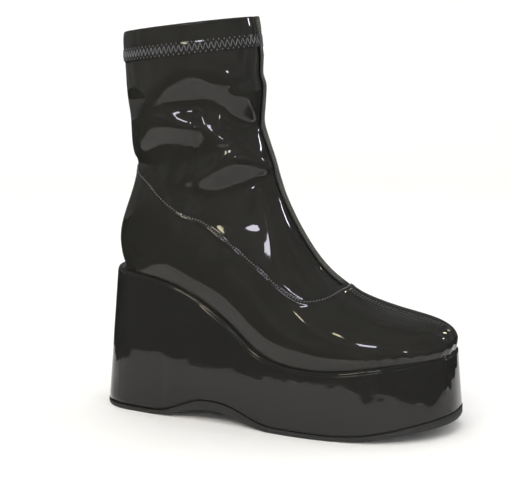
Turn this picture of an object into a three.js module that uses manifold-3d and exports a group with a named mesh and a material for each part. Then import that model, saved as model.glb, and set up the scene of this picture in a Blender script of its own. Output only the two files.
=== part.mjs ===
// Platform ankle boot for the right foot: a pull-on upper over a wrapped one-piece platform.
// Millimetres, +X to the toe, +Y to the inner side of the foot, +Z up.
import * as THREE from 'three';
import Module from 'manifold-3d';

const wasm = await Module();
wasm.setup();

// Driving sizes: the foot
const footLength = 245.5;
const ballWidth = 92;
const instepHeight = 80;
const toeSwing = 7;
const toeNose = 62;
const toeCurl = 32;
const heelEnd = 0.3;
const heelBlend = 8;
const heelSetback = 5;

// Driving sizes: the shaft
const shaftHeight = 166.8;
const shaftWidth = 76;
const shaftDepth = 100;

// Driving sizes: the platform
const heelHeight = 103;
const platformHeight = 46;
const toeSpring = 10;
const sideLedge = 4;
const toeLedge = 2.2;
const heelLedge = 6.4;
const topRounding = 2.4;
const heelRake = 9.5;
const toeRake = 0.5;
const sideFlare = 3;
const archRise = 8;
const outsoleThickness = 3.2;
const treadLip = 0.4;
const treadBevel = 1.2;

// Driving sizes: walls, seams and gaps
const upperWall = 1.8;
const panelStep = 0.6;
const hemStep = 0.5;
const hemHeight = 21;
const tapeHalfWidth = 3;
const tapeThickness = 1;
const insoleThickness = 3;
const meetingGap = 0.3;
const trimBelow = 2;

// Mesh density
const toeSections = 7;
const footSections = 11;
const heelSections = 7;
const shaftSections = 13;
const sectionPoints = 28;

// Seat of the foot along the length: share of the length, share of the drop from heel to ball, share of
// the toe spring
const seatRows = [
  { run: -0.06, drop: 1.01, spring: 0 },
  { run: 0, drop: 1, spring: 0 },
  { run: 0.06, drop: 0.975, spring: 0 },
  { run: 0.14, drop: 0.935, spring: 0 },
  { run: 0.21, drop: 0.868, spring: 0 },
  { run: 0.28, drop: 0.745, spring: 0 },
  { run: 0.344, drop: 0.59, spring: 0 },
  { run: 0.403, drop: 0.41, spring: 0 },
  { run: 0.444, drop: 0.265, spring: 0 },
  { run: 0.484, drop: 0.145, spring: 0 },
  { run: 0.545, drop: 0.045, spring: 0 },
  { run: 0.612, drop: 0.008, spring: 0 },
  { run: 0.7, drop: 0, spring: 0.03 },
  { run: 0.78, drop: 0, spring: 0.27 },
  { run: 0.857, drop: 0, spring: 0.57 },
  { run: 0.93, drop: 0, spring: 0.84 },
  { run: 1, drop: 0, spring: 1 },
  { run: 1.06, drop: 0, spring: 1.15 },
];

// Outline that the upper stands on: half widths as shares of the local width
const footprintRows = [
  { run: -0.05, outer: 0.763, inner: 0.753 },
  { run: 0.04, outer: 0.768, inner: 0.757 },
  { run: 0.11, outer: 0.764, inner: 0.756 },
  { run: 0.18, outer: 0.755, inner: 0.73 },
  { run: 0.25, outer: 0.733, inner: 0.684 },
  { run: 0.32, outer: 0.725, inner: 0.645 },
  { run: 0.39, outer: 0.746, inner: 0.642 },
  { run: 0.46, outer: 0.793, inner: 0.679 },
  { run: 0.53, outer: 0.859, inner: 0.753 },
  { run: 0.6, outer: 0.922, inner: 0.839 },
  { run: 0.66, outer: 0.952, inner: 0.9 },
  { run: 0.74, outer: 0.957, inner: 0.943 },
  { run: 0.79, outer: 0.948, inner: 0.948 },
  { run: 0.85, outer: 0.926, inner: 0.935 },
  { run: 0.92, outer: 0.902, inner: 0.909 },
  { run: 1.04, outer: 0.891, inner: 0.883 },
];

// Foot sections: each stands on the seat at run and ends on the top line, ahead and rise away from it.
// Ahead is a share of the reach, rise of the instep, outer and inner of the local half width.
const footRows = [
  { run: 1.04, ahead: 0.055, rise: 0.175, outer: 0.935, inner: 0.913, skew: 0, fullness: 0.8 },
  { run: 0.93, ahead: 0.035, rise: 0.262, outer: 0.946, inner: 0.946, skew: 0, fullness: 0.8 },
  { run: 0.862, ahead: 0.012, rise: 0.34, outer: 0.974, inner: 0.974, skew: 0, fullness: 0.82 },
  { run: 0.787, ahead: 0.01, rise: 0.438, outer: 0.996, inner: 0.989, skew: 0, fullness: 0.86 },
  { run: 0.74, ahead: 0.007, rise: 0.514, outer: 1.004, inner: 0.985, skew: 0, fullness: 0.9 },
  { run: 0.66, ahead: 0.085, rise: 0.62, outer: 1, inner: 0.946, skew: 0, fullness: 0.95 },
  { run: 0.6, ahead: 0.123, rise: 0.717, outer: 0.974, inner: 0.896, skew: 0, fullness: 0.97 },
  { run: 0.53, ahead: 0.197, rise: 0.811, outer: 0.92, inner: 0.84, skew: 0, fullness: 0.98 },
  { run: 0.46, ahead: 0.287, rise: 0.849, outer: 0.873, inner: 0.806, skew: 0, fullness: 0.98 },
  { run: 0.39, ahead: 0.388, rise: 0.824, outer: 0.85, inner: 0.804, skew: 0, fullness: 0.96 },
  { run: 0.32, ahead: 0.496, rise: 0.835, outer: 0.853, inner: 0.823, skew: 0.01, fullness: 0.94 },
  { run: 0.25, ahead: 0.614, rise: 0.872, outer: 0.874, inner: 0.849, skew: 0.02, fullness: 0.92 },
  { run: 0.18, ahead: 0.75, rise: 0.934, outer: 0.896, inner: 0.881, skew: 0.03, fullness: 0.9 },
  { run: 0.11, ahead: 0.893, rise: 1.024, outer: 0.919, inner: 0.906, skew: 0.045, fullness: 0.88 },
  { run: 0.06, ahead: 0.99, rise: 1.093, outer: 0.931, inner: 0.918, skew: 0.055, fullness: 0.86 },
  { run: 0.02, ahead: 1.062, rise: 1.17, outer: 0.934, inner: 0.921, skew: 0.06, fullness: 0.85 },
];

// Shaft sections: each starts on the back line at share up of the shaft height
const shaftRows = [
  { up: 0, ahead: 1.06, rise: 1.167, outer: 0.934, inner: 0.921, skew: 0.06, fullness: 0.85 },
  { up: 0.1, ahead: 1.063, rise: 1.067, outer: 0.934, inner: 0.921, skew: 0.06, fullness: 0.85 },
  { up: 0.2, ahead: 1.026, rise: 0.97, outer: 0.934, inner: 0.921, skew: 0.06, fullness: 0.86 },
  { up: 0.3, ahead: 0.972, rise: 0.875, outer: 0.934, inner: 0.926, skew: 0.05, fullness: 0.88 },
  { up: 0.4, ahead: 0.931, rise: 0.773, outer: 0.937, inner: 0.932, skew: 0.04, fullness: 0.9 },
  { up: 0.5, ahead: 0.926, rise: 0.676, outer: 0.947, inner: 0.942, skew: 0.03, fullness: 0.92 },
  { up: 0.6, ahead: 0.93, rise: 0.58, outer: 0.961, inner: 0.955, skew: 0.02, fullness: 0.94 },
  { up: 0.7, ahead: 0.948, rise: 0.478, outer: 0.974, inner: 0.974, skew: 0.01, fullness: 0.94 },
  { up: 0.8, ahead: 0.962, rise: 0.369, outer: 0.987, inner: 0.987, skew: 0.01, fullness: 0.95 },
  { up: 0.9, ahead: 0.968, rise: 0.259, outer: 1, inner: 1, skew: 0.01, fullness: 0.95 },
  { up: 1, ahead: 0.96, rise: 0.14, outer: 1, inner: 1, skew: 0.01, fullness: 0.95 },
];

// Back line: how far the back moves forward of the heel seat, as a share of the shaft depth
const backRows = [
  { up: -0.03, forward: 0.012 },
  { up: 0, forward: 0 },
  { up: 0.025, forward: -0.012 },
  { up: 0.07, forward: -0.029 },
  { up: 0.13, forward: -0.033 },
  { up: 0.22, forward: 0.008 },
  { up: 0.305, forward: 0.06 },
  { up: 0.39, forward: 0.1 },
  { up: 0.44, forward: 0.105 },
  { up: 0.5, forward: 0.084 },
  { up: 0.57, forward: 0.076 },
  { up: 0.64, forward: 0.066 },
  { up: 0.71, forward: 0.046 },
  { up: 0.78, forward: 0.031 },
  { up: 0.85, forward: 0.021 },
  { up: 0.92, forward: 0.015 },
  { up: 1, forward: 0.018 },
];

// Top edge of the foot panel: along is 0 at the toe, 1 at the heel seat and 2 at the collar, and across
// is 0 on the front centre and 1 at the end of the section
const seamRows = [
  { along: 0.344, across: 0 },
  { along: 0.352, across: 0.14 },
  { along: 0.365, across: 0.26 },
  { along: 0.387, across: 0.36 },
  { along: 0.42, across: 0.44 },
  { along: 0.46, across: 0.485 },
  { along: 0.54, across: 0.52 },
  { along: 0.65, across: 0.555 },
  { along: 0.76, across: 0.575 },
  { along: 0.88, across: 0.565 },
  { along: 0.97, across: 0.53 },
  { along: 1.05, across: 0.5 },
  { along: 1.14, across: 0.53 },
  { along: 1.26, across: 0.62 },
  { along: 1.38, across: 0.79 },
  { along: 1.46, across: 1 },
];

// Ground side of the platform along the length: lift of the tread as a share of the arch rise or of the
// toe spring, and the tread's own thickness as a share of its thickness at the heel
const treadRows = [
  { run: -0.08, arch: 0, spring: 0, thick: 1 },
  { run: 0, arch: 0, spring: 0, thick: 1 },
  { run: 0.08, arch: 0, spring: 0, thick: 1 },
  { run: 0.15, arch: 0, spring: 0, thick: 1 },
  { run: 0.19, arch: 0.12, spring: 0, thick: 1.1 },
  { run: 0.24, arch: 0.55, spring: 0, thick: 1.5 },
  { run: 0.3, arch: 0.95, spring: 0, thick: 2.1 },
  { run: 0.34, arch: 1, spring: 0, thick: 2.2 },
  { run: 0.39, arch: 0.93, spring: 0, thick: 2 },
  { run: 0.44, arch: 0.6, spring: 0, thick: 1.7 },
  { run: 0.48, arch: 0.25, spring: 0, thick: 1.4 },
  { run: 0.53, arch: 0, spring: 0, thick: 1.2 },
  { run: 0.62, arch: 0, spring: 0, thick: 1.1 },
  { run: 0.71, arch: 0, spring: 0, thick: 1 },
  { run: 0.76, arch: 0, spring: 0.08, thick: 0.95 },
  { run: 0.82, arch: 0, spring: 0.25, thick: 0.95 },
  { run: 0.88, arch: 0, spring: 0.48, thick: 1.1 },
  { run: 0.95, arch: 0, spring: 0.72, thick: 1.6 },
  { run: 1.04, arch: 0, spring: 0.98, thick: 2.1 },
];

// Natural cubic spline through the named columns of a table
function spline(rows, key, column) {
  const sorted = [...rows].sort((a, b) => a[key] - b[key]);
  const xs = sorted.map((row) => row[key]);
  const ys = sorted.map((row) => row[column]);
  const last = xs.length - 1;
  const bend = new Array(last + 1).fill(0);
  const sweep = new Array(last + 1).fill(0);
  for (let i = 1; i < last; i += 1) {
    const before = xs[i] - xs[i - 1];
    const after = xs[i + 1] - xs[i];
    const pivot = 2 * (before + after) - before * sweep[i - 1];
    const jump = 6 * ((ys[i + 1] - ys[i]) / after - (ys[i] - ys[i - 1]) / before);
    sweep[i] = after / pivot;
    bend[i] = (jump - before * bend[i - 1]) / pivot;
  }
  for (let i = last - 1; i > 0; i -= 1) bend[i] -= sweep[i] * bend[i + 1];
  return (x) => {
    let i = 0;
    while (i < last - 1 && x > xs[i + 1]) i += 1;
    const step = xs[i + 1] - xs[i];
    const left = xs[i + 1] - x;
    const right = x - xs[i];
    const curve = (bend[i] * left ** 3 + bend[i + 1] * right ** 3) / (6 * step);
    const fromLeft = (ys[i] / step - (bend[i] * step) / 6) * left;
    return curve + fromLeft + (ys[i + 1] / step - (bend[i + 1] * step) / 6) * right;
  };
}

// Straight lines through the named columns of a table
function lines(rows, key, column) {
  return (x) => {
    let i = 0;
    while (i < rows.length - 2 && x > rows[i + 1][key]) i += 1;
    const part = (x - rows[i][key]) / (rows[i + 1][key] - rows[i][key]);
    return rows[i][column] + (rows[i + 1][column] - rows[i][column]) * clamp(part);
  };
}

function clamp(value) {
  return Math.min(1, Math.max(0, value));
}

function smooth(value) {
  const part = clamp(value);
  return part * part * (3 - 2 * part);
}

// Rounded end of an outline: 0 at its tip and 1 from depth on
function nose(distance, depth, power) {
  const left = clamp(1 - distance / depth);
  return (1 - left ** power) ** (1 / power);
}

// Shared lines of the foot
const heelShare = heelSetback / footLength;
const reach = 0.4 * footLength;
const seatDrop = spline(seatRows, 'run', 'drop');
const seatSpring = spline(seatRows, 'run', 'spring');
const backForward = spline(backRows, 'up', 'forward');
const printOuter = spline(footprintRows, 'run', 'outer');
const printInner = spline(footprintRows, 'run', 'inner');
const columns = ['ahead', 'rise', 'outer', 'inner', 'skew', 'fullness'];
const footLines = Object.fromEntries(columns.map((name) => [name, spline(footRows, 'run', name)]));
const shaftLines = Object.fromEntries(columns.map((name) => [name, spline(shaftRows, 'up', name)]));

// Lean of the back line where it leaves the seat
const backSlope = (shaftDepth * (backForward(0.01) - backForward(0))) / (shaftHeight * 0.01);

function seatHeight(x) {
  const run = x / footLength;
  return platformHeight + (heelHeight - platformHeight) * seatDrop(run) + toeSpring * seatSpring(run);
}

// The foot's centre line swings to the inner side ahead of the arch
function centreLine(x) {
  const start = 0.42 * footLength;
  const part = Math.min(1.2, Math.max(0, (x - start) / (footLength - start)));
  return toeSwing * part ** 1.8;
}

function footBlend(run) {
  return smooth((run - heelShare) / (0.55 - heelShare));
}

function localHalfWidth(run) {
  return (shaftWidth + (ballWidth - shaftWidth) * footBlend(run)) / 2;
}

// Half width of the line that the upper stands on. Behind the heel the sections that lean over it close
// the outline, so that the foot runs smoothly into the back of the shaft.
function footprint(x, side) {
  const run = x / footLength;
  const share = side < 0 ? printOuter(run) : printInner(run);
  const widths = side < 0 ? footLines.outer : footLines.inner;
  const straight = share * localHalfWidth(run) * nose(footLength - x, toeNose, 2.35);
  if (run > heelEnd) return straight;
  const ahead = footLines.ahead(run) * forwardReach(run);
  const rise = footLines.rise(run) * instepHeight;
  const behind = backSlope * (seatHeight(x) - seatHeight(heelSetback));
  const depth = clamp((x - heelSetback - behind) / (ahead - backSlope * rise));
  if (depth > 0.5) return straight;
  const angle = sectionAngle(depth, footLines.skew(run));
  const rounded = widths(run) * localHalfWidth(run) * Math.sin(angle) ** footLines.fullness(run);
  if (rounded < 1e-6) return 0;
  return (straight ** -heelBlend + rounded ** -heelBlend) ** (-1 / heelBlend);
}

function forwardReach(run) {
  return shaftDepth + (reach - shaftDepth) * footBlend(run);
}

// Height of a section at an angle, as a share of its span: 0 at its end and 1 at its top
function sectionHeight(angle, skew) {
  return (1 - Math.cos(angle)) / 2 - skew * Math.sin(angle) ** 2;
}

function sectionAngle(height, skew) {
  if (Math.abs(skew) < 1e-4) return Math.acos(1 - 2 * height);
  const root = Math.sqrt(0.25 - 4 * skew * (0.5 - skew - height));
  return Math.acos(Math.min(1, (0.5 - root) / (2 * skew)));
}

// One section of the upper, which starts a little below the seat and is cut there. Along runs from 0 at
// the toe over 1 at the heel seat to 2 at the collar.
function station(along) {
  if (along <= 1) {
    const x = footLength - (footLength - heelSetback) * along;
    const run = x / footLength;
    const half = localHalfWidth(run) * nose(footLength - x, toeNose, 2.35);
    const lift = nose(footLength - x, toeCurl, 3.2);
    const rise = footLines.rise(run) * instepHeight + trimBelow;
    return {
      base: new THREE.Vector3(x, 0, seatHeight(x) - trimBelow),
      span: new THREE.Vector3(footLines.ahead(run) * forwardReach(run), 0, rise).multiplyScalar(lift),
      halfWidths: [footLines.outer(run) * half, footLines.inner(run) * half],
      endWidths: [footprint(x, -1), footprint(x, 1)],
      skew: footLines.skew(run),
      fullness: footLines.fullness(run),
    };
  }
  const up = along - 1;
  const half = shaftWidth / 2;
  const x = heelSetback + shaftDepth * backForward(up);
  const start = 1 - smooth(up * 4);
  const z = heelHeight + up * shaftHeight + (seatHeight(heelSetback) - trimBelow - heelHeight) * start;
  const rise = shaftLines.rise(up) * instepHeight + trimBelow * start;
  return {
    base: new THREE.Vector3(x, 0, z),
    span: new THREE.Vector3(shaftLines.ahead(up) * shaftDepth, 0, rise),
    halfWidths: [shaftLines.outer(up) * half, shaftLines.inner(up) * half],
    endWidths: [0, 0],
    skew: shaftLines.skew(up),
    fullness: shaftLines.fullness(up),
  };
}

// A point of the upper's outer face: across runs from -1 outside over 0 on the front centre to 1 inside
function upperPoint(along, across) {
  const { base, span, halfWidths, endWidths, skew, fullness } = station(along);
  const side = across < 0 ? 0 : 1;
  const half = halfWidths[side];
  if (half < 1e-6) return new THREE.Vector3(base.x, centreLine(base.x), base.z);
  const endAngle = Math.asin(clamp(endWidths[side] / half) ** (1 / fullness));
  const angle = Math.PI - Math.abs(across) * (Math.PI - endAngle);
  const start = sectionHeight(endAngle, skew);
  const share = (sectionHeight(angle, skew) - start) / (1 - start);
  const point = base.clone().addScaledVector(span, share);
  const width = half * Math.max(0, Math.sin(angle)) ** fullness;
  point.y = centreLine(point.x) + (side ? width : -width);
  return point;
}

function upperNormal(along, across) {
  const step = 0.004;
  const before = upperPoint(Math.max(0.001, along - step), across);
  const after = upperPoint(Math.min(2, along + step), across);
  const left = upperPoint(along, Math.max(-1, across - step));
  const right = upperPoint(along, Math.min(1, across + step));
  return right.sub(left).cross(after.sub(before)).normalize();
}

function shareOut(from, to, count, power = 1) {
  return Array.from({ length: count + 1 }, (_, i) => from + (to - from) * (i / count) ** power);
}

// Sections of the foot lie close together where the outline turns: at the toe and at the heel
function footStations() {
  const toe = shareOut(0, 0.17, toeSections, 2);
  const foot = shareOut(0.17, 0.88, footSections);
  const heel = shareOut(1, 0.88, heelSections, 2).reverse();
  return [...toe, ...foot.slice(1), ...heel.slice(1)];
}

const stationsOfFoot = footStations();
const stationsOfShaft = shareOut(1, 2, shaftSections);
const stationsOfUpper = [...stationsOfFoot, ...stationsOfShaft.slice(1)];

// Turns triangles with their corner points into one closed solid
function solidFrom(points, triangles) {
  const vertProperties = new Float32Array(points.flatMap((p) => [p.x, p.y, p.z]));
  const mesh = new wasm.Mesh({ numProp: 3, vertProperties, triVerts: new Uint32Array(triangles.flat()) });
  mesh.merge();
  return new wasm.Manifold(mesh);
}

function quad(a, b, c, d) {
  return [[a, b, c], [a, c, d]];
}

// The upper's outer grid with the toe tip and the back of the shaft welded, and its vertex normals
function upperGrid() {
  const points = [];
  const index = stationsOfUpper.map((along, row) => {
    const shared = row === 0;
    const closed = along >= 1 - 1e-9;
    const ids = [];
    for (let column = 0; column <= sectionPoints; column += 1) {
      if (shared && column > 0) ids.push(ids[0]);
      else if (closed && column === sectionPoints) ids.push(ids[0]);
      else ids.push(points.push(upperPoint(along, -1 + (2 * column) / sectionPoints)) - 1);
    }
    return ids;
  });
  const faces = [];
  for (let row = 0; row + 1 < index.length; row += 1) {
    for (let column = 0; column < sectionPoints; column += 1) {
      const corners = [index[row][column], index[row][column + 1]];
      const next = [index[row + 1][column], index[row + 1][column + 1]];
      faces.push(...quad(corners[0], corners[1], next[1], next[0]));
    }
  }
  const kept = faces.filter(([a, b, c]) => a !== b && b !== c && a !== c);
  return { points, index, faces: kept, normals: vertexNormals(points, kept) };
}

function vertexNormals(points, faces) {
  const normals = points.map(() => new THREE.Vector3());
  for (const [a, b, c] of faces) {
    const edge = points[b].clone().sub(points[a]);
    const turn = edge.cross(points[c].clone().sub(points[a]));
    for (const id of [a, b, c]) normals[id].add(turn);
  }
  for (const normal of normals) normal.normalize();
  return normals;
}

// A closed sheet between two offsets of the outer grid
function sheet(grid, inside, outside) {
  const { points, index, faces, normals } = grid;
  const count = points.length;
  const moved = (offset) => points.map((p, i) => p.clone().addScaledVector(normals[i], offset));
  const triangles = [...faces, ...faces.map(([a, b, c]) => [a + count, c + count, b + count])];
  const last = index.length - 1;
  for (let row = 0; row < last; row += 1) {
    for (const column of [0, sectionPoints]) {
      const a = index[row][column];
      const b = index[row + 1][column];
      const closed = [row, row + 1].every((i) => i > 0 && index[i][0] === index[i][sectionPoints]);
      if (closed) continue;
      const side = quad(a, b, b + count, a + count);
      triangles.push(...(column === 0 ? side : side.map(([p, q, r]) => [p, r, q])));
    }
  }
  for (let column = 0; column < sectionPoints; column += 1) {
    const a = index[last][column];
    const b = index[last][column + 1];
    triangles.push(...quad(a, b, b + count, a + count));
  }
  return solidFrom([...moved(outside), ...moved(inside)], triangles);
}

// A prism through the whole width from an outline in the side view
function sidePrism(outline) {
  const halfWidth = 2 * ballWidth;
  const points = [-halfWidth, halfWidth].flatMap((y) => outline.map(([x, z]) => new THREE.Vector3(x, y, z)));
  const contour = outline.map(([x, z]) => new THREE.Vector2(x, z));
  const caps = THREE.ShapeUtils.triangulateShape(contour, []);
  const count = outline.length;
  const triangles = [];
  for (const [a, b, c] of caps) triangles.push([a, b, c], [a + count, c + count, b + count]);
  for (let i = 0; i < count; i += 1) {
    const next = (i + 1) % count;
    triangles.push(...quad(next, i, i + count, next + count));
  }
  const prism = solidFrom(points, triangles);
  return prism.volume() > 0 ? prism : solidFrom(points, triangles.map(([a, b, c]) => [a, c, b]));
}

// The foot panel lies below the slanting seam
function panelPrism() {
  const seam = seamRows.map(({ along, across }) => upperPoint(along, -across)).map((p) => [p.x, p.z]);
  const front = footLength + toeNose;
  const back = -toeNose;
  const vampPoint = seam[0];
  const heelPoint = seam[seam.length - 1];
  return sidePrism([
    [back, 0],
    [front, 0],
    [front, vampPoint[1] + instepHeight / 4],
    [vampPoint[0] + 1, vampPoint[1] + instepHeight / 4],
    ...seam,
    [back, heelPoint[1]],
  ]);
}

// The hem is the band below the collar edge
function hemPrism() {
  const frontTop = upperPoint(2, 0);
  const backTop = upperPoint(2, -1);
  const above = 3 * hemHeight;
  return sidePrism([
    [backTop.x - above, backTop.z - hemHeight - (frontTop.z - backTop.z) * (above / shaftDepth)],
    [frontTop.x + above, frontTop.z - hemHeight + (frontTop.z - backTop.z) * (above / shaftDepth)],
    [frontTop.x + above, frontTop.z + above],
    [backTop.x - above, frontTop.z + above],
  ]);
}

// A cut can leave specks: only the largest body is kept
function mainBody(solid) {
  return solid.decompose().reduce((a, b) => (a.volume() > b.volume() ? a : b));
}

function upperSolid() {
  const grid = upperGrid();
  const wall = sheet(grid, -upperWall, 0);
  const panel = sheet(grid, -upperWall / 2, panelStep).intersect(panelPrism());
  const hem = sheet(grid, -upperWall / 2, hemStep).intersect(hemPrism());
  return mainBody(wall.add(panel).add(hem).subtract(raisedPlatform()));
}

// The tape over the front seam lies on the hem and the shaft, from the collar down to the vamp point
function tapeSolid() {
  const from = seamRows[0].along + 0.02;
  const stations = [from, ...stationsOfUpper.filter((along) => along > from + 0.01)];
  const lanes = 4;
  const points = [];
  for (const offset of [hemStep + meetingGap + tapeThickness, hemStep + meetingGap]) {
    for (const along of stations) {
      for (let lane = 0; lane <= lanes; lane += 1) {
        const share = (2 * lane) / lanes - 1;
        const perUnit = upperPoint(along, 0.1).distanceTo(upperPoint(along, 0)) / 0.1;
        const across = (share * tapeHalfWidth) / perUnit;
        points.push(upperPoint(along, across).addScaledVector(upperNormal(along, across), offset));
      }
    }
  }
  return solidFrom(points, slabTriangles(stations.length, lanes + 1));
}

// Closed skin of two stacked grids with rows and columns of points
function slabTriangles(rows, width) {
  const count = rows * width;
  const triangles = [];
  const at = (row, column) => row * width + column;
  for (let row = 0; row + 1 < rows; row += 1) {
    for (let column = 0; column + 1 < width; column += 1) {
      const top = quad(at(row, column), at(row, column + 1), at(row + 1, column + 1), at(row + 1, column));
      triangles.push(...top, ...top.map(([a, b, c]) => [a + count, c + count, b + count]));
    }
    const left = [at(row, 0), at(row + 1, 0)];
    const right = [at(row, width - 1), at(row + 1, width - 1)];
    triangles.push(...quad(left[0], left[1], left[1] + count, left[0] + count));
    triangles.push(...quad(right[1], right[0], right[0] + count, right[1] + count));
  }
  for (let column = 0; column + 1 < width; column += 1) {
    const first = [at(0, column), at(0, column + 1)];
    const end = [at(rows - 1, column), at(rows - 1, column + 1)];
    triangles.push(...quad(first[1], first[0], first[0] + count, first[1] + count));
    triangles.push(...quad(end[0], end[1], end[1] + count, end[0] + count));
  }
  return triangles;
}

// A ring around the foot in plan: the footprint moved outwards by a distance that may change on the way
function planRing(outset) {
  const runs = stationsOfFoot.map((along) => footLength - (footLength - heelSetback) * along);
  const outer = runs.map((x) => new THREE.Vector2(x, centreLine(x) - footprint(x, -1)));
  const inner = runs.map((x) => new THREE.Vector2(x, centreLine(x) + footprint(x, 1)));
  const ring = [...outer, ...inner.slice(1, -1).reverse()];
  return ring.map((point, i) => {
    const before = ring[(i + ring.length - 1) % ring.length];
    const after = ring[(i + 1) % ring.length];
    const normal = new THREE.Vector2(before.y - after.y, after.x - before.x).normalize();
    return point.clone().addScaledVector(normal, outset(point.x));
  });
}

// A solid from stacked rings that close the foot's outline, with strips across its top and bottom
function ringSolid(rings) {
  const size = rings[0].length;
  const points = rings.flat();
  const triangles = [];
  for (let level = 0; level + 1 < rings.length; level += 1) {
    for (let i = 0; i < size; i += 1) {
      const next = (i + 1) % size;
      const low = level * size;
      triangles.push(...quad(low + next, low + i, low + size + i, low + size + next));
    }
  }
  const topStart = (rings.length - 1) * size;
  const half = stationsOfFoot.length - 1;
  for (let i = 0; i < half; i += 1) {
    const pair = [i, i + 1, size - i - 1, (size - i) % size];
    for (const [a, b, c] of quad(...pair)) {
      if (a === b || b === c || a === c) continue;
      triangles.push([a, b, c], [a + topStart, c + topStart, b + topStart]);
    }
  }
  return solidFrom(points, triangles);
}

// Heights of the ground side, which is flat below the heel and below the ball
const flatHeelEnd = 0.16;
const flatBallStart = 0.53;
const flatBallEnd = 0.73;
const archShare = spline(treadRows, 'run', 'arch');
const springShare = spline(treadRows, 'run', 'spring');
const thickShare = lines(treadRows, 'run', 'thick');

function treadHeight(x) {
  const run = x / footLength;
  if (run < flatHeelEnd || (run > flatBallStart && run < flatBallEnd)) return 0;
  return Math.max(0, archRise * archShare(run) + toeSpring * springShare(run));
}

function coverHeight(x) {
  return treadHeight(x) + outsoleThickness * thickShare(x / footLength);
}

// The platform's sides slope outwards on the way down, and its back and front lean outwards
function rake(x) {
  const atHeel = 1 - smooth((x - heelSetback) / (0.4 * footLength));
  const atToe = smooth((x - 0.7 * footLength) / (0.3 * footLength));
  return toeRake * atToe - heelRake * atHeel;
}

// The rim around the upper is widest behind the heel and narrowest at the toe
function ledge(x) {
  const atHeel = 1 - smooth((x - heelSetback) / (0.12 * footLength));
  const atToe = smooth((x - 0.8 * footLength) / (0.2 * footLength));
  return sideLedge + (heelLedge - sideLedge) * atHeel + (toeLedge - sideLedge) * atToe;
}

function levelRing(share, outset) {
  const flare = (x) => sideFlare * smooth((x - heelSetback) / (0.25 * footLength)) * (1 - share);
  const ring = planRing((x) => ledge(x) + flare(x) + outset);
  return ring.map((point) => new THREE.Vector2(point.x + rake(point.x) * (1 - share), point.y));
}

function platformRing(share, outset, heightOffset) {
  const low = levelRing(0, 0);
  const top = levelRing(1, 0);
  return levelRing(share, outset).map((point, i) => {
    const bottom = coverHeight(low[i].x) + meetingGap;
    const height = bottom + (seatHeight(top[i].x) - bottom) * share + heightOffset;
    return new THREE.Vector3(point.x, point.y, height);
  });
}

function platformSolid() {
  const side = [0, 0.25, 0.5, 0.75].map((share) => platformRing(share, 0, 0));
  const rounding = [0, 30, 60, 90].map((degrees) => {
    const angle = THREE.MathUtils.degToRad(degrees);
    return platformRing(1, topRounding * (Math.cos(angle) - 1), topRounding * (Math.sin(angle) - 1));
  });
  return ringSolid([...side, ...rounding]);
}

// The platform's place with the gap above it: what sits on the platform is cut by it
function raisedPlatform() {
  return platformSolid().translate([0, 0, meetingGap]);
}

function outsoleSolid() {
  const low = levelRing(0, 0);
  const edge = levelRing(0, treadLip);
  const ground = levelRing(0, treadLip - treadBevel);
  const top = edge.map((p, i) => new THREE.Vector3(p.x, p.y, coverHeight(low[i].x)));
  const middle = edge.map((p, i) => new THREE.Vector3(p.x, p.y, treadHeight(low[i].x) + treadBevel));
  const bottom = ground.map((p, i) => new THREE.Vector3(p.x, p.y, treadHeight(low[i].x)));
  return ringSolid([bottom, middle, top]);
}

function insoleSolid() {
  const inset = upperWall + 1.2;
  const plan = planRing(() => -inset);
  const bottom = plan.map((p) => new THREE.Vector3(p.x, p.y, seatHeight(p.x) - 2 * meetingGap));
  const top = plan.map((p) => new THREE.Vector3(p.x, p.y, seatHeight(p.x) + meetingGap + insoleThickness));
  const upperWithGap = sheet(upperGrid(), -upperWall - meetingGap, 0);
  return mainBody(ringSolid([bottom, top]).subtract(upperWithGap).subtract(raisedPlatform()));
}

const finishes = {
  patent: { color: 0x242422, roughness: 0.16, metalness: 0 },
  tape: { color: 0x3a3d3a, roughness: 0.62, metalness: 0 },
  cover: { color: 0x1f1e1c, roughness: 0.14, metalness: 0 },
  tread: { color: 0x1b1b1b, roughness: 0.7, metalness: 0 },
  lining: { color: 0x2c2b2a, roughness: 0.85, metalness: 0 },
};

function addPart(group, name, solid, finish) {
  const { vertProperties, triVerts } = solid.getMesh();
  const geometry = new THREE.BufferGeometry();
  geometry.setAttribute('position', new THREE.BufferAttribute(Float32Array.from(vertProperties), 3));
  geometry.setIndex(new THREE.BufferAttribute(Uint32Array.from(triVerts), 1));
  geometry.computeVertexNormals();
  const mesh = new THREE.Mesh(geometry, new THREE.MeshStandardMaterial(finish));
  mesh.name = name;
  group.add(mesh);
}

const boot = new THREE.Group();
addPart(boot, 'upper', upperSolid(), finishes.patent);
addPart(boot, 'front_seam_tape', tapeSolid(), finishes.tape);
addPart(boot, 'platform', platformSolid(), finishes.cover);
addPart(boot, 'outsole', outsoleSolid(), finishes.tread);
addPart(boot, 'insole', insoleSolid(), finishes.lining);

// The origin is below the middle of the boot, on the floor
const extent = new THREE.Box3().setFromObject(boot);
const middle = extent.getCenter(new THREE.Vector3());
boot.position.set(-middle.x, -middle.y, -extent.min.z);

export default boot;
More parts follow.
